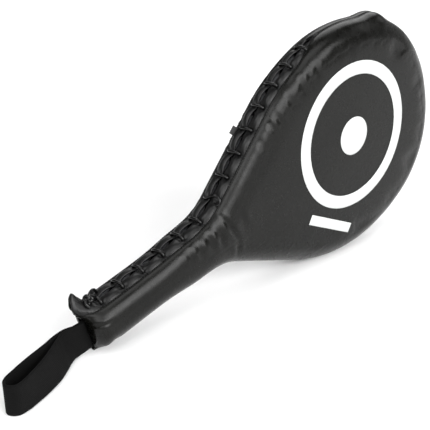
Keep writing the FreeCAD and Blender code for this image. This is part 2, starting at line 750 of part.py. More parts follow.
os.makedirs("parts", exist_ok=True)
for name, thing in nodes.items():
    thing.Shape.exportStep(f"parts/{name}.step")
    print(f"{name}: {len(thing.Shape.Solids)} solids, {thing.Shape.Volume / 1000:.2f} cm3")

loop_end = hinge + shift + outwards * dim("strap_reach")
back_rest = standing.multVec(Vector(dim("ring_station"), 0, -dim("half_thickness"))) + shift
for label, point in (
    ("strap hinge", hinge + shift),
    ("strap hinge axis", upwards),
    ("strap direction", outwards),
    ("strap loop end", loop_end),
    ("back face centre", back_rest),
):
    print(f"{label}: {point.x:.4f} {point.y:.4f} {point.z:.4f}")
print(f"lean {math.degrees(LEAN):.3f} degrees, blade {2 * (SIDE_CENTRE.y + dim('side_radius')):.1f} mm wide")
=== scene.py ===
import json
import math

import bpy
import numpy as np
from mathutils import Matrix, Vector
from mathutils.bvhtree import BVHTree
from mathutils.kdtree import KDTree


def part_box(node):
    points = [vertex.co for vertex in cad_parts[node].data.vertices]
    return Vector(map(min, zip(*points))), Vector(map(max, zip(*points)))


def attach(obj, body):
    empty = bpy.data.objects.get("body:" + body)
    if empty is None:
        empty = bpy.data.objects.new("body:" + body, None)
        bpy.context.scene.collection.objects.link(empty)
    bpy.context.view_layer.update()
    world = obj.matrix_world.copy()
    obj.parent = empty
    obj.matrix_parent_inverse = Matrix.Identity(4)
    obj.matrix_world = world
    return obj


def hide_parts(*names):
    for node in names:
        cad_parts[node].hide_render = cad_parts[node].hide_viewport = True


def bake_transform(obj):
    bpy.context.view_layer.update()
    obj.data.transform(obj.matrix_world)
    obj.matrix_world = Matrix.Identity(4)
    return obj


# Kick paddle standing on its unlaced edge: padded leather panels, laced facings, a webbing wrist strap.
#
# The soft pieces are worked out in the paddle's own coordinates, which are the CAD model's: station along
# the handle from the butt, across towards the laced edge, and out towards the printed face. Lengths are in
# metres.

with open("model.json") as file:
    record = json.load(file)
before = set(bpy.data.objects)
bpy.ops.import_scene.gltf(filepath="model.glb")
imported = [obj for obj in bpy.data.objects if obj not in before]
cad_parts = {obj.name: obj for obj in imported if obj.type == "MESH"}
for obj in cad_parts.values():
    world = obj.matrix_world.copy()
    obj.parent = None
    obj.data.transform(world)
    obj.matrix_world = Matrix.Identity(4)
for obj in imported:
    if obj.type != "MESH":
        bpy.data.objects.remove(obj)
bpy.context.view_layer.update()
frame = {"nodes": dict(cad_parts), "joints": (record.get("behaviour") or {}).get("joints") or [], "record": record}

MM = 0.001

# ------------------------------
# Driving dimensions, the same as the CAD model's
# ------------------------------
LENGTH = 400 * MM
TIP_RADIUS, TIP_ARC = 120 * MM, math.radians(17)
SHOULDER_RADIUS, SHOULDER_ARC = 90 * MM, math.radians(64.5)
SIDE_RADIUS, FLANK = 140 * MM, math.radians(35.2)
NECK_RADIUS = 66 * MM
HANDLE = 18.5 * MM
RIM_RADIUS = 16 * MM
LACING_END = math.radians(90)
FACING_LEVEL = 10.2 * MM
FIRST_CROSSING, CROSSING_PITCH, CROSSINGS = 17 * MM, 20.85 * MM, 14
RING_STATION, RING_ACROSS, RING_OUTER, RING_INNER = 287.5 * MM, 9.5 * MM, 65.5 * MM, 54 * MM
SPOT_RADIUS = 17 * MM
BAR_STATION, BAR_ACROSS, BAR_LENGTH, BAR_HEIGHT = 242 * MM, -56 * MM, 58 * MM, 9 * MM
BAR_TURN = math.radians(-41.5)
RIVET_STATION = 24 * MM
STRAP_WIDTH, WEBBING, STRAP_DROP, TAIL_LENGTH = 24.5 * MM, 1.9 * MM, 3.6 * MM, 42 * MM


def node_centre(node):
    low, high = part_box(node)
    return (low + high) / 2


# The paddle's own axes, from two pieces that lie on the handle's middle line
front_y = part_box("front_cover")[0].y
back_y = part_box("back_cover")[1].y
HALF_THICKNESS = (back_y - front_y) / 2
rivet = node_centre("strap_rivet")
ALONG = node_centre("handle_bolts") - rivet
ALONG.y = 0
ALONG.normalize()
ACROSS = Vector((-ALONG.z, 0, ALONG.x))
OUT = Vector((0, -1, 0))
ORIGIN = rivet - ALONG * RIVET_STATION
ORIGIN.y = (front_y + back_y) / 2
AXES = np.array([ALONG, ACROSS, OUT])


def to_world(points):
    return np.array(ORIGIN) + np.asarray(points, float) @ AXES


# ------------------------------
# Outline and rounded rim
# ------------------------------
def ray(angle, length=1.0):
    return np.array([math.cos(angle), math.sin(angle)]) * length


def straight(start, heading, length):
    def at(distance):
        points = start + distance[:, None] * ray(heading)
        return points, np.tile(ray(heading + math.pi / 2), (len(distance), 1))

    return length, at


def bend(centre, radius, start, end, hollow=False):
    def at(distance):
        angle = start + math.copysign(1, end - start) * distance / radius
        out = np.stack([np.cos(angle), np.sin(angle)], axis=1)
        return centre + radius * out, -out if hollow else out

    return abs(end - start) * radius, at


tip_centre = np.array([LENGTH - TIP_RADIUS, 0])
shoulder_centre = tip_centre + ray(TIP_ARC, TIP_RADIUS - SHOULDER_RADIUS)
side_centre = shoulder_centre + ray(SHOULDER_ARC, SHOULDER_RADIUS - SIDE_RADIUS)
SIDE_START = math.pi / 2 + FLANK
flank_top = side_centre + ray(SIDE_START, SIDE_RADIUS)
flank_foot = flank_top[0] - (flank_top[1] - HANDLE) / math.tan(FLANK)
neck_centre = np.array([flank_foot - NECK_RADIUS * math.tan(FLANK / 2), HANDLE + NECK_RADIUS])
neck_end = neck_centre + ray(FLANK - math.pi / 2, NECK_RADIUS)
SEGMENTS = [
    straight(np.array([0, HANDLE]), 0, neck_centre[0]),
    bend(neck_centre, NECK_RADIUS, -math.pi / 2, FLANK - math.pi / 2, hollow=True),
    straight(neck_end, FLANK, float(np.linalg.norm(flank_top - neck_end))),
    bend(side_centre, SIDE_RADIUS, SIDE_START, SHOULDER_ARC),
    bend(shoulder_centre, SHOULDER_RADIUS, SHOULDER_ARC, TIP_ARC),
    bend(tip_centre, TIP_RADIUS, TIP_ARC, 0),
]
SIDE_RUN = sum(length for length, _ in SEGMENTS[:3])
SHOULDER_RUN = SIDE_RUN + SEGMENTS[3][0]
HALF_RUN = sum(length for length, _ in SEGMENTS)
LACING_RUN = SIDE_RUN + (SIDE_START - LACING_END) * SIDE_RADIUS
SPINE_END = side_centre[0] - side_centre[1] / math.tan(SHOULDER_ARC)


def outline(run):
    """Points and outward directions on the edge. A run starts at the butt's laced corner, goes round the tip
    at half way and ends at the butt's other corner."""
    far = run > HALF_RUN
    left = np.where(far, 2 * HALF_RUN - run, run)
    points, out = np.zeros((len(run), 2)), np.zeros((len(run), 2))
    start = 0.0
    for length, at in SEGMENTS:
        here = (left >= start - 1e-9) & (left <= start + length + 1e-9)
        points[here], out[here] = at(left[here] - start)
        start += length
    points[far, 1] *= -1
    out[far, 1] *= -1
    return points, out


FLAT_RIM = HALF_THICKNESS - RIM_RADIUS
ROUNDING = FLAT_RIM + RIM_RADIUS * math.pi / 2


def around_at(level):
    """Length over the rounding, from the rim's middle line, at which the rim stands at that level."""
    if level < FLAT_RIM:
        return level
    return FLAT_RIM + RIM_RADIUS * math.asin((level - FLAT_RIM) / RIM_RADIUS)


def rim(run, around, lift=0.0):
    """Local points and outward directions on the rounded rim; around is negative on the back."""
    run, around, lift = np.broadcast_arrays(*(np.asarray(x, float) for x in (run, around, lift)))
    shape = run.shape
    run, around, lift = run.ravel(), around.ravel(), lift.ravel()
    edge, out = outline(run)
    side, over = np.sign(around), np.abs(around)
    angle = np.clip((over - FLAT_RIM) / RIM_RADIUS, 0, math.pi / 2)
    level = np.minimum(over, FLAT_RIM) + RIM_RADIUS * np.sin(angle)
    inset = RIM_RADIUS * (1 - np.cos(angle)) + np.maximum(over - ROUNDING, 0)
    normal = np.column_stack([out * np.cos(angle)[:, None], side * np.sin(angle)])
    base = np.column_stack([edge - out * inset[:, None], side * level])
    return (base + normal * lift[:, None]).reshape(shape + (3,)), normal.reshape(shape + (3,))


def face(run, share, side):
    """Local points on the flat face: share runs from the rounding to the paddle's middle line."""
    edge, out = outline(run)
    inner = edge - out * RIM_RADIUS
    left = np.where(run > HALF_RUN, 2 * HALF_RUN - run, run)
    slope = np.where(left > SHOULDER_RUN, 1, out[:, 1])
    station = np.where(left > SHOULDER_RUN, SPINE_END, edge[:, 0] - out[:, 0] * edge[:, 1] / slope)
    spine = np.column_stack([station, 0 * station])
    flat = inner[:, None, :] + share[None, :, None] * (spine - inner)[:, None, :]
    level = np.full(flat.shape[:2] + (1,), side * HALF_THICKNESS)
    return np.concatenate([flat, level], axis=2)


# ------------------------------
# How the leather departs from the plain padded shape
# ------------------------------
# Across places of the flattened butt: the laced corner, the facing's seam and the unlaced corner
MOUTH_TOP, MOUTH_SEAM, MOUTH_FOOT = 32 * MM, 12.5 * MM, -20.3 * MM
# Half the slit's opening, from its foot to its top
MOUTH_STOPS = (MOUTH_FOOT, MOUTH_FOOT + 3 * MM, 10 * MM, 15 * MM, 18.5 * MM, MOUTH_TOP)
MOUTH_LEVELS = np.array([0.5, 3.4, 3.4, 2.6, 1.7, 1.5]) * MM
MOUTH_SET_BACK, SET_BACK_FOOT = 5.5 * MM, 9 * MM
PINCH_ACROSS, PINCH_OUT = 17 * MM, 12 * MM
CORNER_CUT, CORNER_REACH = 3.2 * MM, 4 * MM
FRONT_LIP, BACK_LIP, LIP_ACROSS, LIP_REACH = -4.4 * MM, -3.0 * MM, 21.5 * MM, 6 * MM
LEAST_LIFT, MOST_LIFT, LEAST_LEVEL = -2.2 * MM, 1.5 * MM, 0.1 * MM
SEAM_AROUND = around_at(12.8 * MM)
HALF_GIRTH = 2 * (ROUNDING + HANDLE - RIM_RADIUS)

# Creases, in millimetres: station, across, heading from the handle's line in degrees, half length, half
# width, depth
FRONT_CREASES = (
    (139.5, 7.5, -70, 14, 1.9, 1.6),
    (127.5, 5.5, -78, 9, 2.6, 1.0),
    (152.0, 8.0, -62, 9, 3.4, 0.6),
    (141.0, -13.5, -84, 8, 2.4, 0.7),
    (117.5, 10.0, -66, 7, 2.8, 0.9),
    (106.0, 8.5, -78, 6, 2.4, 0.6),
    (96.0, 11.0, -70, 7, 2.8, 0.4),
    (212.5, 68.5, -62, 7, 2.6, 0.5),
    (204.0, 66.0, -55, 7, 2.4, 0.4),
    (228.0, 77.0, -60, 8, 3.0, 0.5),
    (243.0, 82.0, -68, 9, 3.4, 0.5),
    (262.0, 87.0, -72, 7, 3.0, 0.5),
    (190.0, 57.0, -60, 7, 3.0, 0.3),
    (6.0, 9.0, -12, 7, 1.4, 0.9),
)
BACK_CREASES = (
    (136.0, 3.0, -80, 16, 2.2, 1.6),
    (126.0, -5.0, -68, 12, 2.0, 1.1),
    (149.0, 8.0, -72, 12, 3.0, 1.0),
    (114.0, 2.0, -84, 9, 2.2, 0.8),
    (221.0, 73.0, -62, 8, 2.2, 0.8),
    (201.0, 64.0, -58, 7, 2.0, 0.7),
    (182.0, 52.0, -60, 7, 2.2, 0.5),
    (240.0, 80.0, -66, 8, 2.4, 0.8),
    (15.0, -2.0, -86, 11, 2.2, 0.9),
    (6.5, 8.0, -35, 7, 1.5, 1.1),
)
# Fuller and leaner stretches of the rim, in millimetres: station, across, reach, amount
RIM_SWELLS = (
    (103.0, -22.0, 25, 3.9),
    (104.0, 22.0, 22, 2.4),
    (353.5, 94.0, 12.5, 5.6),
    (245.0, 96.0, 30, -1.6),
)

# The faces' slight doming, and the slow unevenness of the padding
CROWN_LONG, CROWN_WIDE, CROWN_HEIGHT = 115 * MM, 90 * MM, 1.2 * MM
UNEVENNESS, RUMPLE_SIZE, RUMPLE_SEED = 0.35 * MM, 26 * MM, 5
# The handle's unlaced side flares at the butt and narrows behind it: amount, station, reach
BUTT_FLARE = (1.9 * MM, 5 * MM, 4.2 * MM)
BUTT_WAIST = (-0.8 * MM, 15 * MM, 3.5 * MM)
BUTT_FOOT = 14 * MM


def crease_depth(points, creases):
    """How far the creases push each point in: a valley with a raised shoulder on each side."""
    depth = np.zeros(len(points))
    for station, across, heading, long, wide, deep in creases:
        way = ray(math.radians(heading))
        apart = points[:, :2] / MM - (station, across)
        down = apart @ way / long
        beside = apart @ (-way[1], way[0]) / wide
        beside = beside + 0.35 * np.sin(down * 2.2)
        valley = np.exp(-(beside**2)) - 0.75 * np.exp(-((np.abs(beside) - 1.8) ** 2) / 0.8)
        depth += deep * MM * valley * np.exp(-(down**2) * 1.4)
    return depth


def rumple(points):
    """Slow unevenness of the padding under the leather, within about 1."""
    rng = np.random.default_rng(RUMPLE_SEED)
    total = np.zeros(len(points))
    for _ in range(9):
        wave = rng.normal(size=3) / RUMPLE_SIZE
        total += np.sin(points @ wave + rng.uniform(0, 2 * math.pi))
    return total / 5


def rim_swell(points):
    """How far the fuller and leaner stretches stand out, fading to nothing on the faces."""
    total = np.zeros(len(points))
    for station, across, reach, amount in RIM_SWELLS:
        apart = np.hypot(points[:, 0] / MM - station, points[:, 1] / MM - across)
        total += amount * MM * np.exp(-((apart / reach) ** 2))
    return total * (1 - np.clip(np.abs(points[:, 2]) / HALF_THICKNESS, 0, 1) ** 4)


def crown(points):
    """Slight doming of the padded face."""
    reach = np.hypot((points[:, 0] - RING_STATION) / CROWN_LONG, points[:, 1] / CROWN_WIDE)
    return CROWN_HEIGHT * np.clip(1 - reach**2, 0, 1)


def relief(points):
    """Outward departure of the leather from the plain padded shape."""
    front = points[:, 2] >= 0
    depth = np.where(front, crease_depth(points, FRONT_CREASES), crease_depth(points, BACK_CREASES))
    height = np.clip(np.abs(points[:, 2]) / HALF_THICKNESS, 0, 1)
    padding = crown(points) * height + UNEVENNESS * rumple(points) + rim_swell(points)
    foot = np.clip(-points[:, 1] / BUTT_FOOT, 0, 1) ** 2
    for amount, station, reach in (BUTT_FLARE, BUTT_WAIST):
        padding += amount * foot * np.exp(-(((points[:, 0] - station) / reach) ** 2))
    return padding - depth * height


def pinch(points):
    """Flattens the handle's last stretch onto the strap, spreading it towards the laced edge."""
    points = np.array(points, float)
    near = points[:, 0] < PINCH_ACROSS
    station, across, level = points[near].T
    side = np.where(level < 0, -1, 1)
    wide, high = np.abs(across), np.abs(level)
    flat_half = HANDLE - RIM_RADIUS
    corner = (wide > flat_half) & (high > FLAT_RIM)
    angle = np.arctan2(high - FLAT_RIM, np.maximum(wide - flat_half, 1e-9))
    over = np.where(corner, FLAT_RIM + RIM_RADIUS * angle, high)
    over = np.where(~corner & (high > FLAT_RIM), ROUNDING + flat_half - wide, over)
    lift = np.hypot(wide - flat_half, high - FLAT_RIM) - RIM_RADIUS
    lift = np.where(corner, lift, np.where(high > FLAT_RIM, high - HALF_THICKNESS, wide - HANDLE))
    over = np.where(across < 0, HALF_GIRTH - over, over)
    flat_across = np.interp(over, [0, SEAM_AROUND, HALF_GIRTH], [MOUTH_TOP, MOUTH_SEAM, MOUTH_FOOT])
    flat_level = np.interp(flat_across, MOUTH_STOPS, MOUTH_LEVELS)
    flat_level = np.maximum(flat_level + np.clip(lift, LEAST_LIFT, MOST_LIFT), LEAST_LEVEL)
    set_back = MOUTH_SET_BACK * np.clip((flat_across - SET_BACK_FOOT) / (MOUTH_TOP - SET_BACK_FOOT), 0, 1)
    share_across = np.clip(1 - station / PINCH_ACROSS, 0, 1) ** 1.6
    share_out = 1 - np.sqrt(1 - np.clip(1 - station / PINCH_OUT, 0, 1) ** 2)
    corner_cut = CORNER_CUT * np.clip((flat_across - MOUTH_TOP) / CORNER_REACH + 1, 0, 1) ** 2
    lip = np.exp(-(((flat_across - LIP_ACROSS) / LIP_REACH) ** 2)) * np.where(side < 0, BACK_LIP, FRONT_LIP)
    across = across + share_across * (flat_across - across)
    level = level + share_out * (side * flat_level - level) - share_across**0.8 * set_back
    points[near] = np.column_stack([station + share_across * (corner_cut + lip), across, level])
    return points


# The simulated leather's resting places as a tree, and their moves; both are filled in by simulate_swell
SWELL = {"tree": None, "moves": None}


def swell(points):
    """Movement of the nearest simulated leather, spread smoothly over the points."""
    if SWELL["tree"] is None:
        return np.zeros_like(points)
    moved = np.zeros_like(points)
    for index, point in enumerate(points):
        weight = 0.0
        for _, found, distance in SWELL["tree"].find_n(Vector(point), 6):
            share = 1 / (distance + 1 * MM) ** 2
            moved[index] += SWELL["moves"][found] * share
            weight += share
        moved[index] /= weight
    return moved


def settle(points, normals):
    """World places of plain local points: with the relief and the simulated swell added, then pinched."""
    shape = points.shape
    points, normals = points.reshape(-1, 3), normals.reshape(-1, 3)
    soft = points + normals * relief(points)[:, None] + swell(points)
    return to_world(pinch(soft)).reshape(shape)


# ------------------------------
# Mesh helpers
# ------------------------------
def mesh_piece(name, vertices, faces):
    """A smooth-shaded object in the scene."""
    mesh = bpy.data.meshes.new(name)
    mesh.from_pydata([tuple(v) for v in np.asarray(vertices, float).reshape(-1, 3)], [], faces)
    mesh.validate()
    mesh.update()
    mesh.shade_smooth()
    piece = bpy.data.objects.new(name, mesh)
    bpy.context.scene.collection.objects.link(piece)
    return piece


def grid_faces(rows, columns, close_columns=False):
    """Faces of a grid of points, which may run on from its last column to its first."""
    faces = []
    for i in range(rows - 1):
        for j in range(columns if close_columns else columns - 1):
            beside = (j + 1) % columns
            corners = ((i, j), (i + 1, j), (i + 1, beside), (i, beside))
            faces.append([a * columns + b for a, b in corners])
    return faces


def grid_piece(name, grid, flip=False, close_columns=False):
    """An object over a grid of points, turned the other way round by flip."""
    faces = grid_faces(*grid.shape[:2], close_columns)
    if flip:
        faces = [face[::-1] for face in faces]
    return mesh_piece(name, grid, faces)


def apply_modifiers(piece):
    """Keeps the evaluated mesh and drops the modifiers."""
    view = bpy.context.evaluated_depsgraph_get()
    mesh = bpy.data.meshes.new_from_object(piece.evaluated_get(view))
    piece.modifiers.clear()
    piece.data = mesh
    return piece


def weld(piece, distance):
    """Merges points that lie within the distance."""
    modifier = piece.modifiers.new("weld", "WELD")
    modifier.merge_threshold = distance
    return apply_modifiers(piece)


def thicken(piece, thickness, offset=-1.0):
    """Gives a surface its thickness: inwards at -1, to both sides at 0."""
    modifier = piece.modifiers.new("thickness", "SOLIDIFY")
    modifier.thickness = thickness
    modifier.offset = offset
    modifier.use_even_offset = False
    return apply_modifiers(piece)


ANY_WAY = (0.31, 0.17, 0.93)


def frames_along(path):
    """Unit directions, and a pair of unit cross directions that turns as little as possible."""
    path = np.asarray(path, float)
    way = np.gradient(path, axis=0)
    way /= np.linalg.norm(way, axis=1)[:, None]
    first = np.cross(way[0], ANY_WAY)
    one = [first / np.linalg.norm(first)]
    for direction in way[1:]:
        turned = one[-1] - direction * (one[-1] @ direction)
        one.append(turned / np.linalg.norm(turned))
    one = np.array(one)
    return way, one, np.cross(way, one)


def tube_parts(path, radius, sides=8):
    """Vertices and faces of a round tube along a path, closed at its ends."""
    _, one, two = frames_along(path)
    radius = np.broadcast_to(radius, len(path))
    turns = np.linspace(0, 2 * math.pi, sides, endpoint=False)
    rings = [
        point + r * (np.cos(turns)[:, None] * a + np.sin(turns)[:, None] * b)
        for point, r, a, b in zip(path, radius, one, two)
    ]
    faces = grid_faces(len(path), sides, close_columns=True)
    faces += [list(range(sides)), [(len(path) - 1) * sides + k for k in range(sides)][::-1]]
    return np.concatenate(rings), faces


def tubes_piece(name, paths, radius, sides=8):
    """One piece made of many tubes."""
    vertices, faces, count = [], [], 0
    for path in paths:
        part, part_faces = tube_parts(path, radius, sides)
        vertices.append(part)
        faces += [[count + k for k in face] for face in part_faces]
        count += len(part)
    return mesh_piece(name, np.concatenate(vertices), faces)


def smooth_path(points, per_span=8):
    """A smooth curve through the points (centripetal Catmull-Rom)."""
    points = np.asarray(points, float)
    ends = [2 * points[0] - points[1]], [2 * points[-1] - points[-2]]
    held = np.concatenate([ends[0], points, ends[1]])
    curve = []
    for a, b, c, d in zip(held, held[1:], held[2:], held[3:]):
        pairs = ((a, b), (b, c), (c, d))
        knots = np.cumsum([0] + [max(np.linalg.norm(q - p), 1e-6) ** 0.5 for p, q in pairs])
        for t in np.linspace(knots[1], knots[2], per_span, endpoint=False):
            x = [p + (q - p) * (t - u) / (v - u) for (p, q), u, v in zip(pairs, knots, knots[1:])]
            y = [
                x[0] + (x[1] - x[0]) * (t - knots[0]) / (knots[2] - knots[0]),
                x[1] + (x[2] - x[1]) * (t - knots[1]) / (knots[3] - knots[1]),
            ]
            curve.append(y[0] + (y[1] - y[0]) * (t - knots[1]) / (knots[2] - knots[1]))
    return np.array(curve + [points[-1]])


# ------------------------------
# Materials
# ------------------------------
class Shader:
    """A node material under construction: a principled shader with a bump of its own."""

    def __init__(
        self, name, color, roughness, specular=0.5, coat=0.0, coat_roughness=0.2, sheen=0.0, metallic=0.0
    ):
        self.material = bpy.data.materials.new(name)
        self.material.use_nodes = True
        self.tree = self.material.node_tree
        self.main = next(node for node in self.tree.nodes if node.type == "BSDF_PRINCIPLED")
        self.set("Base Color", (*color, 1))
        self.set("Roughness", roughness)
        self.set("Specular IOR Level", specular)
        self.set("Coat Weight", coat)
        self.set("Coat Roughness", coat_roughness)
        self.set("Sheen Weight", sheen)
        self.set("Metallic", metallic)
        self.place = self.node("ShaderNodeTexCoord").outputs["Object"]
        self.normal = None

    def set(self, socket, value):
        self.main.inputs[socket].default_value = value

    def node(self, kind, **values):
        made = self.tree.nodes.new(kind)
        for key, value in values.items():
            if key in made.inputs:
                made.inputs[key].default_value = value
            else:
                setattr(made, key, value)
        return made

    def link(self, output, target):
        self.tree.links.new(output, target)

    def noise(self, scale, detail=4.0, roughness=0.55):
        made = self.node("ShaderNodeTexNoise", Scale=scale, Detail=detail, Roughness=roughness)
        self.link(self.place, made.inputs["Vector"])
        return made.outputs["Fac"]

    def cells(self, scale, feature="F1"):
        made = self.node("ShaderNodeTexVoronoi", Scale=scale, feature=feature)
        self.link(self.place, made.inputs["Vector"])
        return made.outputs["Distance"]

    def span(self, value, low, high, start=0.0, end=1.0):
        made = self.node("ShaderNodeMapRange")
        made.inputs["From Min"].default_value = start
        made.inputs["From Max"].default_value = end
        made.inputs["To Min"].default_value = low
        made.inputs["To Max"].default_value = high
        self.link(value, made.inputs["Value"])
        return made.outputs["Result"]

    def paint(self, value, color, low, high):
        """Lets the base colour run between two shades of one colour, given as shares of it."""
        made = self.node("ShaderNodeMix", data_type="RGBA")
        made.inputs["A"].default_value = (*(low * c for c in color), 1)
        made.inputs["B"].default_value = (*(high * c for c in color), 1)
        self.link(value, made.inputs["Factor"])
        self.link(made.outputs["Result"], self.main.inputs["Base Color"])

    def bump(self, value, strength, distance):
        made = self.node("ShaderNodeBump", Strength=strength, Distance=distance)
        self.link(value, made.inputs["Height"])
        if self.normal is not None:
            self.link(self.normal, made.inputs["Normal"])
        self.normal = made.outputs["Normal"]

    def done(self):
        if self.normal is not None:
            self.link(self.normal, self.main.inputs["Normal"])
        return self.material


def leather(name, color, roughness, grain, coat=0.0, specular=0.5):
    """Pebbled imitation leather: fine cells, faint long creases, slightly uneven gloss and tone."""
    shader = Shader(name, color, roughness, specular=specular, coat=coat, coat_roughness=0.12)
    tone = shader.noise(38, detail=3)
    shader.paint(shader.span(tone, 0, 1, 0.3, 0.7), color, 0.8, 1.3)
    gloss = shader.noise(120, detail=5)
    spread = shader.span(gloss, roughness - 0.05, roughness + 0.07, 0.3, 0.7)
    shader.link(spread, shader.main.inputs["Roughness"])
    shader.bump(shader.cells(1500, feature="SMOOTH_F1"), 0.3 * grain, 0.12 * MM)
    shader.bump(shader.noise(700, detail=5, roughness=0.6), 0.3 * grain, 0.12 * MM)
    shader.bump(shader.noise(75, detail=3), 0.3 * grain, 0.9 * MM)
    return shader.done()


def thread(name, color):
    """Twisted thread."""
    shader = Shader(name, color, 0.55, specular=0.22, sheen=0.04)
    wave = shader.node("ShaderNodeTexWave", Scale=1500.0, Distortion=2.0)
    shader.link(shader.place, wave.inputs["Vector"])
    shader.paint(wave.outputs["Fac"], color, 0.6, 1)
    shader.bump(wave.outputs["Fac"], 0.6, 0.15 * MM)
    return shader.done()


def webbing_cloth(name, color):
    """Flat woven webbing: ribs across the band and finer yarns along it, following the band's own map."""
    shader = Shader(name, color, 0.75, specular=0.05, sheen=0.012)
    band = shader.node("ShaderNodeUVMap").outputs["UV"]
    weave = shader.node("ShaderNodeMath", operation="MULTIPLY")
    for index, (way, pitch, unevenness) in enumerate((("X", 3.6 * MM, 0.6), ("Y", 4.4 * MM, 0.4))):
        wave = shader.node("ShaderNodeTexWave", Scale=1 / pitch, bands_direction=way, Distortion=unevenness)
        wave.inputs["Detail Scale"].default_value = 300
        shader.link(band, wave.inputs["Vector"])
        shader.link(wave.outputs["Fac"], weave.inputs[index])
    shader.paint(shader.noise(60, detail=4), color, 0.75, 1.5)
    shader.bump(weave.outputs["Value"], 0.55, 0.2 * MM)
    shader.bump(shader.noise(900, detail=3), 0.4, 0.15 * MM)
    return shader.done()


def printed(name, color):
    """Flat ink on grained leather, a little worn."""
    shader = Shader(name, color, 0.5, specular=0.3)
    wear = shader.noise(260, detail=5, roughness=0.6)
    shader.paint(shader.span(wear, 0, 1, 0.35, 0.6), color, 0.93, 1)
    shader.bump(shader.cells(1100, feature="SMOOTH_F1"), 0.2, 0.2 * MM)
    return shader.done()


def foam(name, color):
    """Open-celled foam."""
    shader = Shader(name, color, 0.9, specular=0.2)
    cells = shader.cells(700)
    shader.paint(shader.span(cells, 0, 1, 0, 0.6), color, 0.7, 1.15)
    shader.bump(cells, 0.6, 0.4 * MM)
    return shader.done()


def wood(name, color):
    """Plain wood with wavy grain."""
    shader = Shader(name, color, 0.6)
    wave = shader.node("ShaderNodeTexWave", Scale=90.0, Distortion=5.0, Detail=3.0, bands_direction="Z")
    shader.link(shader.place, wave.inputs["Vector"])
    shader.paint(wave.outputs["Fac"], color, 0.6, 1)
    shader.bump(wave.outputs["Fac"], 0.3, 0.3 * MM)
    return shader.done()


def metal(name, color):
    """Bare metal, unevenly polished."""
    shader = Shader(name, color, 0.32, metallic=1.0)
    scratches = shader.noise(500, detail=6)
    shader.link(shader.span(scratches, 0.22, 0.42, 0.3, 0.7), shader.main.inputs["Roughness"])
    shader.bump(scratches, 0.2, 0.1 * MM)
    return shader.done()


def board(name, color):
    """Flecked hard board."""
    shader = Shader(name, color, 0.7)
    flecks = shader.noise(300, detail=6, roughness=0.7)
    shader.paint(shader.span(flecks, 0, 1, 0.35, 0.65), color, 0.75, 1.1)
    shader.bump(flecks, 0.4, 0.2 * MM)
    return shader.done()


MATERIALS = {
    "cover_leather": leather("cover_leather", (0.002, 0.002, 0.0015), 0.26, 0.5, specular=0.21),
    "facing_leather": leather("facing_leather", (0.003, 0.003, 0.003), 0.36, 0.5, specular=0.32),
    "tongue_leather": leather("tongue_leather", (0.006, 0.006, 0.006), 0.6, 0.8),
    "lace_cord": leather("lace_cord", (0.002, 0.002, 0.002), 0.2, 0.4, coat=0.35, specular=0.15),
    "black_thread": thread("black_thread", (0.006, 0.006, 0.0058)),
    "core_plastic": board("core_board", (0.35, 0.35, 0.33)),
    "handle_wood": wood("handle_wood", (0.55, 0.40, 0.24)),
    "steel": metal("steel", (0.6, 0.6, 0.6)),
    "foam": foam("foam", (0.20, 0.20, 0.21)),
    "strap_webbing": webbing_cloth("strap_webbing", (0.0035, 0.0035, 0.0035)),
    "label_fabric": thread("label_fabric", (0.05, 0.05, 0.05)),
    "white_print": printed("white_print", (0.56, 0.575, 0.565)),
}


def finish(piece, slot, *replaced, material=None, body="paddle"):
    """Gives a piece its material, looked up by the slot's name unless another is given, and lets it stand for the
    CAD nodes it replaces.
    """
    piece.data.materials.clear()
    piece.data.materials.append(MATERIALS[material or slot])
    if body:
        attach(piece, body)
    if replaced:
        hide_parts(*replaced)
    return piece


# ------------------------------
# Leather panels
# ------------------------------
SIDES = ((1, "front"), (-1, "back"))
FACING_AROUND = around_at(FACING_LEVEL)
RUN_STEP = 1.6 * MM
MEET, TAPER = 0.25 * MM, 44 * MM
ROUNDED_ROWS, FACE_ROWS = 17, 22
# The panel's turned-in edge, in millimetres: round the rim from where the panels meet, and lift
TURNED_EDGE = ((0.9, -2.2), (0.15, -1.2), (-0.15, -0.45), (0.25, -0.05))
LEATHER, FACING_LEATHER, FLAP_LEATHER, TAPE = 1.1 * MM, 0.5 * MM, 0.7 * MM, 0.6 * MM


def panel_edge(run):
    """Where a panel's edge lies round the rim: beside the facing, then down to the rim's middle line."""
    left = np.clip((LACING_RUN + 2 * MM - run) / TAPER, 0, 1)
    return MEET + (FACING_AROUND - MEET) * left * left * (3 - 2 * left)


def panel(name, side):
    """A whole cover panel: turned in at its edge, over the rounding and across the face."""
    run = np.linspace(0, 2 * HALF_RUN, int(2 * HALF_RUN / RUN_STEP))
    edge = panel_edge(run)
    rows = [rim(run, side * (edge + around * MM), lift * MM) for around, lift in TURNED_EDGE]
    for share in np.linspace(0, 1, ROUNDED_ROWS)[1:]:
        start = edge + 0.9 * MM
        rows.append(rim(run, side * (start + share * (ROUNDING - start)), 0.12 * MM * (1 - share)))
    shell = np.stack([points for points, _ in rows], axis=1)
    out = np.stack([normal for _, normal in rows], axis=1)
    middle = face(run, np.linspace(0, 1, FACE_ROWS)[1:] ** 1.5, side)
    up = np.zeros_like(middle)
    up[..., 2] = side
    grid = settle(np.concatenate([shell, middle], axis=1), np.concatenate([out, up], axis=1))
    piece = grid_piece(name, grid, flip=side > 0)
    return weld(piece, 0.05 * MM)


def grid_local(side):
    """The plain padded shape of one side as a coarse grid of local points."""
    run = np.linspace(0, 2 * HALF_RUN, 240)
    rows = [rim(run, side * around)[0] for around in np.linspace(0.001 * MM, ROUNDING, 9)]
    middle = face(run, np.linspace(0, 1, 12)[1:], side)
    return np.concatenate([np.stack(rows, axis=1), middle], axis=1)


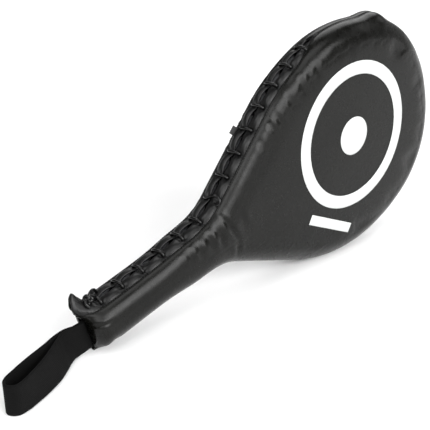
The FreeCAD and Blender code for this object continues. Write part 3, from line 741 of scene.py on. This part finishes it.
def seam_points():
    """Points along every seam that holds the leather down."""
    run = np.arange(0, 2 * HALF_RUN, 2 * MM)
    rim_seam = rim(run[run > LACING_RUN], 0 * run[run > LACING_RUN])[0]
    laced = run[run <= LACING_RUN]
    rows = [rim(laced, side * (panel_edge(laced) + 2 * MM))[0] for side in (1, -1)]
    mouth = np.concatenate([grid_local(side)[[0, -1]].reshape(-1, 3) for side in (1, -1)])
    return np.concatenate([rim_seam, *rows, mouth])


# The simulated copy's grid size, how far the seams' hold on it reaches, the most it may move, its frames
SWELL_VOXEL, SWELL_GRIP, SWELL_CAP, SWELL_FRAMES = 5 * MM, 9 * MM, 1.0 * MM, 20
CLOTH = {
    "quality": 5,
    "mass": 0.4,
    "tension_stiffness": 25,
    "compression_stiffness": 25,
    "shear_stiffness": 10,
    "bending_stiffness": 2,
    "use_pressure": True,
    "uniform_pressure_force": 4,
    "vertex_group_mass": "held",
}


def tree_of(points):
    """Search tree over the points."""
    tree = KDTree(len(points))
    for index, point in enumerate(points):
        tree.insert(Vector(point), index)
    tree.balance()
    return tree


def simulate_swell():
    """Cloth simulation of the padded cover: a remeshed copy is blown up against its seams, and the capped
    movement of its points is kept for every panel."""
    seed = [grid_local(side) for side in (1, -1)]
    rows, columns = seed[0].shape[:2]
    count = rows * columns
    faces = grid_faces(rows, columns)
    faces = [f[::-1] for f in faces] + [[count + k for k in f] for f in faces]
    for first in (0, count - columns):
        faces += [[k, k + 1, count + k + 1, count + k] for k in range(first, first + columns - 1)]
    body = mesh_piece("swell_body", np.concatenate([s.reshape(-1, 3) for s in seed]), faces)
    weld(body, 0.6 * MM)
    remesh = body.modifiers.new("remesh", "REMESH")
    remesh.mode = "VOXEL"
    remesh.voxel_size = SWELL_VOXEL
    apply_modifiers(body)
    rest = np.array([v.co for v in body.data.vertices])
    held = body.vertex_groups.new(name="held")
    seams = tree_of(seam_points())
    for vertex in body.data.vertices:
        distance = seams.find(vertex.co)[2]
        weight = max(0.0, 1 - distance / SWELL_GRIP)
        if weight > 0:
            held.add([vertex.index], weight, "REPLACE")
    cloth = body.modifiers.new("cloth", "CLOTH")
    for key, value in CLOTH.items():
        setattr(cloth.settings, key, value)
    cloth.settings.effector_weights.gravity = 0
    scene = bpy.context.scene
    for number in range(1, SWELL_FRAMES + 1):
        scene.frame_set(number)
    view = bpy.context.evaluated_depsgraph_get()
    after = np.array([v.co for v in body.evaluated_get(view).data.vertices])
    scene.frame_set(1)
    moves = after - rest
    size = np.linalg.norm(moves, axis=1)
    cap = SWELL_CAP * np.tanh(size / SWELL_CAP) / np.maximum(size, 1e-9)
    SWELL["moves"] = moves * cap[:, None]
    SWELL["tree"] = tree_of(rest)
    bpy.data.objects.remove(body)


simulate_swell()

front_panel = panel("front_panel", 1)
back_panel = panel("back_panel", -1)
for piece, nodes in (
    (front_panel, ("front_cover", "front_butt_hem")),
    (back_panel, ("back_cover", "back_butt_hem")),
):
    thicken(piece, LEATHER)
    finish(piece, "cover_leather", *nodes)

# Narrow tape behind the seam where the two panels meet round the rim
tape_run = np.arange(LACING_RUN - 8 * MM, 2 * HALF_RUN - 1 * MM, 2 * MM)
tape_grid = np.stack(
    [settle(*rim(tape_run, a * MM, -1.3 * MM)) for a in (-2.2, -1.1, 0, 1.1, 2.2)], axis=1
)
seam_tape = thicken(grid_piece("rim_seam_tape", tape_grid), TAPE)
finish(seam_tape, "cover_leather", "rim_seam_welt", material="facing_leather")

# ------------------------------
# Laced facings, the flap under them, and the lace
# ------------------------------
crossings = FIRST_CROSSING + CROSSING_PITCH * np.arange(CROSSINGS)
HOLE_AROUND = 6.0 * MM
LACE_RADIUS = 1.25 * MM
# One bar of the lace stands loose; its slips by the bar point's place round the rim: along, around, lift
LOOSE_CROSSING = 6
LOOSE_LOOP = {
    1.0: (1.5, 0.5, 0.6),
    3.8: (3.2, 2.0, 0.8),
    5.6: (1.6, 4.2, 1.1),
    6.4: (-2.2, 3.6, 1.8),
    6.8: (-3.8, 0.6, 1.0),
}


def slack(run):
    """0 at a crossing, 1 half way between two."""
    return 0.5 - 0.5 * np.cos(2 * math.pi * (run - FIRST_CROSSING) / CROSSING_PITCH)


def gap_edge(run):
    """Where a facing's free edge lies round the rim: beside the gap that the lace crosses."""
    closed = np.clip((LACING_RUN - run) / (14 * MM), 0, 1) ** 0.5 * np.clip(run / (9 * MM), 0, 1)
    return closed * (1.0 + 1.1 * slack(run)) * MM + 0.15 * MM


def pucker(run, around):
    """Folds that radiate from each lace hole, and the pull of the lace on the facing's edge."""
    lift = np.zeros(np.broadcast(run, around).shape)
    for index, crossing in enumerate(crossings):
        away, over = (run - crossing) / MM, (around - HOLE_AROUND) / MM
        radius, angle = np.hypot(away, over), np.arctan2(over, away)
        folds = np.cos(5 * angle + 1.7 * index) * np.exp(-radius / 4) * np.clip(radius / 3, 0, 1)
        hole = np.exp(-((radius / 2.1) ** 2))
        pull = np.exp(-((away / 3.6) ** 2)) * np.clip(1 - over / 6, 0, 1.6)
        lift = lift + 0.42 * folds - 1.3 * hole - 0.8 * pull
    return lift * MM


# The facing's free edge, turned in under it, and its end turned in at the butt, in millimetres
TURNED_IN = ((-0.35, -0.6), (0.1, -1.3), (1.6, -1.7), (4.0, -1.9))
TUCKED_END = ((2.8, -1.5), (1.0, -1.3), (0.1, -0.8))


def facing(name, side):
    """A facing strip from its seam over to its free edge, drawn down at the lace holes."""
    run = np.arange(0.2 * MM, LACING_RUN - 1 * MM, 0.9 * MM)
    seam, gap = panel_edge(run), gap_edge(run)
    rows = [rim(run, side * (seam + 2.5 * MM), -1.6 * MM), rim(run, side * (seam + 0.8 * MM), -1.3 * MM)]
    for share in np.linspace(0, 1, 15):
        around = seam + share * (gap - seam)
        puffed = 1.0 * MM * slack(run) * math.sin(math.pi * share) ** 0.8 - 0.75 * MM * (1 - share) ** 3
        rows.append(rim(run, side * around, puffed + pucker(run, around)))
    drop = pucker(run, gap)
    for inward, down in TURNED_IN:
        rows.append(rim(run, side * np.maximum(gap + inward * MM, 0.05 * MM), down * MM + drop))
    points, out = (np.stack(part, axis=1) for part in zip(*rows))
    folds = [points[:1] + out[:1] * down * MM + np.array([inward, 0, 0]) * MM for inward, down in TUCKED_END]
    points = np.concatenate([*folds, points])
    out = np.concatenate([out[:1]] * len(folds) + [out])
    piece = grid_piece(name, settle(points, out), flip=side < 0)
    return thicken(piece, FACING_LEATHER)


for side, label in SIDES:
    laced_facing = facing(f"{label}_facing", side)
    finish(laced_facing, "cover_leather", f"{label}_lacing_strip", material="facing_leather")

flap_run = np.arange(3 * MM, LACING_RUN - 2 * MM, 2 * MM)
flap_rows = [settle(*rim(flap_run, a * MM, -5.6 * MM - 0.03 * MM * a * a)) for a in np.linspace(-9, 9, 11)]
flap = thicken(grid_piece("lacing_flap", np.stack(flap_rows, axis=1)), FLAP_LEATHER)
finish(flap, "tongue_leather", "lacing_tongue")


def on_rim(run, around, lift):
    """World place of one point on the settled rim."""
    return settle(*rim(np.array([run]), np.array([around]), np.array([lift])))[0]


# One bar of the lace from hole to hole, in millimetres: around the rim, lift off it, lean along the run
LACE_BAR = (
    (-7.0, -3.4, -0.3),
    (-6.3, -1.0, -0.3),
    (-5.0, 0.3, -0.2),
    (-2.2, 1.0, -0.1),
    (1.0, 1.1, 0.3),
    (3.8, 0.7, 0.6),
    (5.6, -0.4, 0.6),
    (6.4, -2.0, 0.5),
    (6.8, -3.4, 0.4),
)
lace_points = []
for index, crossing in enumerate(crossings):
    sway = math.sin(2.4 * index) * 0.5
    for around, lift, lean in LACE_BAR:
        slip = LOOSE_LOOP.get(around, (0, 0, 0)) if index == LOOSE_CROSSING else (0, 0, 0)
        place = crossing + (lean + sway * lean + slip[0]) * MM
        lace_points.append(on_rim(place, (around + slip[1]) * MM, (lift + slip[2]) * MM))
    if index + 1 < CROSSINGS:
        middle = crossing + CROSSING_PITCH / 2
        lace_points.append(on_rim(middle, 0.0, -4.6 * MM))
lace = tubes_piece("threaded_lace", [smooth_path(lace_points, 5)], LACE_RADIUS, 10)
finish(lace, "lace_cord", "lace")

# Knot: a small overhand knot in front of the first crossing, with two short tails
KNOT_SIZE = 1.25 * MM
knot_place = on_rim(FIRST_CROSSING - 6.5 * MM, 2.6 * MM, 3.0 * MM)
turns = np.linspace(0, 2 * math.pi, 60)
trefoil = KNOT_SIZE * np.column_stack(
    [
        np.sin(turns) + 2 * np.sin(2 * turns),
        np.cos(turns) - 2 * np.cos(2 * turns),
        -1.3 * np.sin(3 * turns),
    ]
)
knot_axes = np.array([ALONG, OUT * 0.8 - ACROSS * 0.5, OUT * 0.5 + ACROSS * 0.8])


def from_knot(*steps):
    """A smooth path that leaves the knot by steps along, across and out."""
    return smooth_path([knot_place] + [knot_place + np.array(step) @ AXES * MM for step in steps])


tails = [
    from_knot((-2.5, 2, 1.5), (-4, 0.5, 3.5), (-3, -2.5, 5)),
    from_knot((3, 2.5, -1), (7, 2.8, -3), (10, 0.5, -4.5), (11, -3, -5)),
]
knot = tubes_piece("lace_end_knot", [knot_place + trefoil @ knot_axes, *tails], LACE_RADIUS, 10)
finish(knot, "lace_cord", "lace_knot")

# ------------------------------
# Stitching
# ------------------------------
# A stitch from end to end: share of its length, and lift in millimetres
STITCH_PROFILE = ((0, -0.35), (0.15, 0.05), (0.5, 0.16), (0.85, 0.05), (1, -0.35))


def stitches(row, start, end, pitch, length):
    """Paths of separate stitches along row, which gives the local place and direction out at a run."""
    paths = []
    for first in np.arange(start, end - pitch, pitch):
        run = np.array([first + share * length for share, _ in STITCH_PROFILE])
        lift = np.array([height for _, height in STITCH_PROFILE]) * MM
        paths.append(settle(*row(run, lift)))
    return paths


def seam_row(side, beside, raised):
    """Stitches along the seam between a facing and its panel."""
    return lambda run, lift: rim(run, side * (panel_edge(run) + beside), lift + raised)


def edge_row(side, beside):
    """Stitches along a facing's free edge."""

    def at(run, lift):
        around = gap_edge(run) + beside
        return rim(run, side * around, lift + pucker(run, around) + 0.35 * MM * slack(run))

    return at


for side, label in SIDES:
    paths = []
    for beside, raised in ((0.85 * MM, 0), (-0.75 * MM, -0.5 * MM)):
        paths += stitches(seam_row(side, beside, raised), 2 * MM, LACING_RUN + 2 * MM, 2.3 * MM, 1.65 * MM)
    seam_stitches = tubes_piece(f"{label}_seam_stitches", paths, 0.26 * MM, 6)
    finish(seam_stitches, "black_thread", f"{label}_seam_thread")
    fine = stitches(edge_row(side, 1.3 * MM), 2 * MM, LACING_RUN - 6 * MM, 2.4 * MM, 1.9 * MM)
    finish(tubes_piece(f"{label}_edge_stitches", fine, 0.28 * MM, 6), "black_thread")


def hem_row(station, side):
    """Stitches across the facing beside the butt's edge."""
    return lambda around, lift: rim(np.full(len(around), station), side * around, lift)


hem_paths = []
for side in (1, -1):
    for station in (2.6 * MM, 6.0 * MM):
        hem_paths += stitches(hem_row(station, side), 2.5 * MM, SEAM_AROUND, 2.8 * MM, 2.3 * MM)
finish(tubes_piece("butt_hem_stitches", hem_paths, 0.34 * MM, 6), "black_thread", "butt_hem_thread")

# ------------------------------
# Prints, laid on the settled front panel
# ------------------------------
bpy.context.view_layer.update()
panel_points = [v.co.copy() for v in front_panel.data.vertices]
panel_tree = BVHTree.FromPolygons(panel_points, [tuple(p.vertices) for p in front_panel.data.polygons])
INK, ABOVE_FACE = 0.1 * MM, 40 * MM


def lay_on_face(name, station, across, replaced, **close):
    """A thin print over a grid of face coordinates, let down onto the face from well above it."""
    grid = np.stack([station, across, np.full(station.shape, ABOVE_FACE)], axis=2)
    world = to_world(grid.reshape(-1, 3))
    laid = []
    for point in world:
        hit = panel_tree.ray_cast(Vector(point), -OUT)[0]
        laid.append(np.array(hit + OUT * 2.2 * INK))
    piece = grid_piece(name, np.array(laid).reshape(grid.shape), **close)
    thicken(piece, INK, 0)
    return finish(piece, "white_print", replaced)


def ring_grid(inner, outer, rows, steps):
    """Station and across of a grid over a ring about the print's centre."""
    angles = np.linspace(0, 2 * math.pi, steps, endpoint=False)
    radii = np.linspace(inner, outer, rows)
    return (
        RING_STATION + radii[:, None] * np.cos(angles)[None, :],
        RING_ACROSS + radii[:, None] * np.sin(angles)[None, :],
    )


lay_on_face("ring_print", *ring_grid(RING_INNER, RING_OUTER, 7, 200), "print_ring", close_columns=True)
lay_on_face("spot_print", *ring_grid(0.2 * MM, SPOT_RADIUS, 9, 72), "print_centre_spot", close_columns=True)
bar_long, bar_high = np.meshgrid(
    np.linspace(-BAR_LENGTH / 2, BAR_LENGTH / 2, 40), np.linspace(-BAR_HEIGHT / 2, BAR_HEIGHT / 2, 8)
)
lay_on_face(
    "bar_print",
    BAR_STATION + bar_long * math.cos(BAR_TURN) - bar_high * math.sin(BAR_TURN),
    BAR_ACROSS + bar_long * math.sin(BAR_TURN) + bar_high * math.cos(BAR_TURN),
    "print_bar",
)

# ------------------------------
# Blank side label: a folded loop of ribbon sewn into the back seam
# ------------------------------
label_run = np.linspace(197, 204, 9) * MM
# The folded ribbon, in millimetres: round the rim on the back, and lift
LABEL_FOLD = (
    (11.5, -0.6), (11.7, 1.0), (11.5, 2.8), (11.1, 3.8),
    (10.6, 3.8), (10.3, 2.8), (10.3, 1.0), (10.3, -0.6),
)
label_rows = [settle(*rim(label_run, -around * MM, lift * MM)) for around, lift in LABEL_FOLD]
label_piece = thicken(grid_piece("side_label_loop", np.stack(label_rows, axis=1)), 0.25 * MM, 0)
finish(label_piece, "label_fabric", "side_label")

# ------------------------------
# Wrist strap: one length of webbing, out of the butt, round the loop and back in
# ------------------------------
joint = next(j for j in frame["joints"] if j["name"] == "strap_swing")
hinge = np.array(joint["pos_m"])
strap_up = np.array(joint["axis"])
strap_side = np.array((0.0, -1.0, 0.0))
strap_out = np.cross(strap_side, strap_up)
strap_out *= math.copysign(1, -strap_out[0])
HALF_WEB = WEBBING / 2

# Middle line of the loop in millimetres, outward and sideways from the hinge, with the band's lean from
# upright in degrees
LOOP = (
    (3, 0.95, 4), (10, 1.8, 14), (15, 3.9, 21), (22, 9.0, 24), (33, 17.0, 22), (46, 24.4, 14), (58, 30.0, 8),
    (68, 34.0, 3), (76, 34.9, 0), (80.5, 30.0, 0), (78, 24.2, 1), (66, 18.6, 5), (50, 12.8, 10),
    (34, 7.6, 14), (20, 2.0, 15), (12, -0.6, 10), (3, -0.95, 4),
)


def inside_place(station, layer):
    """World place on the middle line of one of the strap's two layers inside the handle."""
    return to_world([[station, -STRAP_DROP, layer * HALF_WEB]])[0]


strap_path, strap_wide = [], []
INSIDE_STATIONS = (TAIL_LENGTH, 25 * MM, 10 * MM, 2 * MM)
for station in INSIDE_STATIONS:
    strap_path.append(inside_place(station, 1))
    strap_wide.append(np.array(ACROSS))
for outward, sideways, lean in LOOP:
    strap_path.append(hinge + strap_out * outward * MM + strap_side * sideways * MM)
    tilt = math.radians(lean)
    strap_wide.append(strap_up * math.cos(tilt) - strap_side * math.sin(tilt))
for station in INSIDE_STATIONS[::-1]:
    strap_path.append(inside_place(station, -1))
    strap_wide.append(np.array(ACROSS))
centre_line = smooth_path(strap_path, 10)
knots = np.linspace(0, len(strap_path) - 1, len(centre_line))
stops = range(len(strap_path))
wide = np.column_stack([np.interp(knots, stops, part) for part in np.array(strap_wide).T])
way = np.gradient(centre_line, axis=0)
way /= np.linalg.norm(way, axis=1)[:, None]
wide -= way * np.sum(wide * way, axis=1)[:, None]
wide /= np.linalg.norm(wide, axis=1)[:, None]
thick = np.cross(way, wide)
half = STRAP_WIDTH / 2
profile = [(across, 1.0) for across in np.linspace(-0.93, 0.93, 13)] + [(1.0, 0.45), (1.0, -0.45)]
profile += [(across, -1.0) for across in np.linspace(0.93, -0.93, 13)] + [(-1.0, -0.45), (-1.0, 0.45)]
band = np.stack(
    [centre_line + wide * across * half + thick * level * HALF_WEB for across, level in profile], axis=1
)
strap_faces = grid_faces(*band.shape[:2], close_columns=True)
ring_size = band.shape[1]
strap_faces += [list(range(ring_size))[::-1], [(band.shape[0] - 1) * ring_size + k for k in range(ring_size)]]
strap = mesh_piece("wrist_strap_webbing", band, strap_faces)
run_along = np.concatenate([[0], np.cumsum(np.linalg.norm(np.diff(centre_line, axis=0), axis=1))])
uv = strap.data.uv_layers.new(name="band")
for loop in strap.data.loops:
    row, column = divmod(loop.vertex_index, ring_size)
    uv.data[loop.index].uv = (run_along[row], profile[column][0] * half)
finish(strap, "strap_webbing", "wrist_strap", "strap_tail", body=None)
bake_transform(strap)

# ------------------------------
# Carried-over CAD pieces inside the cover
# ------------------------------
slots = {part["node"]: part["material_slot"] for part in frame["record"]["subparts"]}
for name, node in frame["nodes"].items():
    node.data.materials.clear()
    node.data.materials.append(MATERIALS[slots[name]])

# ------------------------------
# Floor, lights and camera
# ------------------------------
floor = mesh_piece("floor", [(-4, -4, 0), (4, -4, 0), (4, 4, 0), (-4, 4, 0)], [[0, 1, 2, 3]])
floor_shader = Shader("floor_paper", (0.92, 0.92, 0.92), 0.85, specular=0.1)
floor_shader.paint(floor_shader.noise(400, detail=3), (1, 1, 1), 0.91, 0.93)
floor.data.materials.append(floor_shader.done())

scene = bpy.context.scene
world = bpy.data.worlds.new("studio")
world.use_nodes = True
nodes, links = world.node_tree.nodes, world.node_tree.links
sky = nodes["Background"]
height = nodes.new("ShaderNodeSeparateXYZ")
whiteness = nodes.new("ShaderNodeMapRange")
links.new(nodes.new("ShaderNodeTexCoord").outputs["Generated"], height.inputs[0])
links.new(height.outputs["Z"], whiteness.inputs["Value"])
for socket, value in (("From Min", 0.0), ("From Max", 0.3), ("To Min", 0.6), ("To Max", 0.15)):
    whiteness.inputs[socket].default_value = value
links.new(whiteness.outputs["Result"], sky.inputs["Strength"])
sky.inputs["Color"].default_value = (1, 1, 1, 1)
scene.world = world
scene.view_settings.view_transform = "Standard"


def direction(azimuth, elevation):
    """Away from the object; azimuth 0 faces the front panel and grows towards the blade's end."""
    azimuth, elevation = math.radians(azimuth), math.radians(elevation)
    level = math.cos(elevation)
    return Vector((math.sin(azimuth) * level, -math.cos(azimuth) * level, math.sin(elevation)))


MIDDLE, LIGHT_DISTANCE = Vector((0, 0, 0.11)), 1.5


def place_light(lamp, azimuth, elevation):
    """Stands a lamp in its direction, facing the middle of the object."""
    holder = bpy.data.objects.new(lamp.name, lamp)
    away = direction(azimuth, elevation)
    holder.location = MIDDLE + away * LIGHT_DISTANCE
    holder.rotation_euler = (-away).to_track_quat("-Z", "Y").to_euler()
    scene.collection.objects.link(holder)


# Distant round softboxes: azimuth, elevation, width across the sky in degrees, strength
FAR_LIGHTS = (
    ("front_left", -10, 30, 28, 1.45),
    ("front_right", 20, 30, 28, 1.3),
    ("left", -52, 36, 33, 1.2),
    ("right", 75, 30, 30, 0.2),
    ("top", 0, 72, 32, 0.7),
    ("back_left", -105, 50, 32, 0.9),
    ("back", 130, 42, 40, 0.95),
)
for name, azimuth, elevation, width, strength in FAR_LIGHTS:
    far_lamp = bpy.data.lights.new(name, "SUN")
    far_lamp.energy, far_lamp.angle = strength, math.radians(width)
    place_light(far_lamp, azimuth, elevation)
strip_light = bpy.data.lights.new("front_strip", "AREA")
strip_light.shape = "RECTANGLE"
strip_light.size, strip_light.size_y, strip_light.energy = 1.3, 0.5, 8
place_light(strip_light, 2, 12)

VIEW_AZIMUTH, VIEW_ELEVATION = -42.0, 23.9
VIEW_DISTANCE, LENS = 0.7987, 83.17
AIM_RIGHT, AIM_UP = -20.13 * MM, -17.25 * MM
AIM = Vector((0, 1.3, 90)) * MM
back = direction(VIEW_AZIMUTH, VIEW_ELEVATION)
right = direction(VIEW_AZIMUTH + 90, 0)
up = back.cross(right)
camera = bpy.data.objects.new("camera", bpy.data.cameras.new("camera"))
camera.data.lens = LENS
camera.data.sensor_width = 36
camera.location = AIM + right * AIM_RIGHT + up * AIM_UP + back * VIEW_DISTANCE
camera.rotation_mode = "QUATERNION"
camera.rotation_quaternion = Matrix((right, up, back)).transposed().to_quaternion()
scene.collection.objects.link(camera)
scene.camera = camera
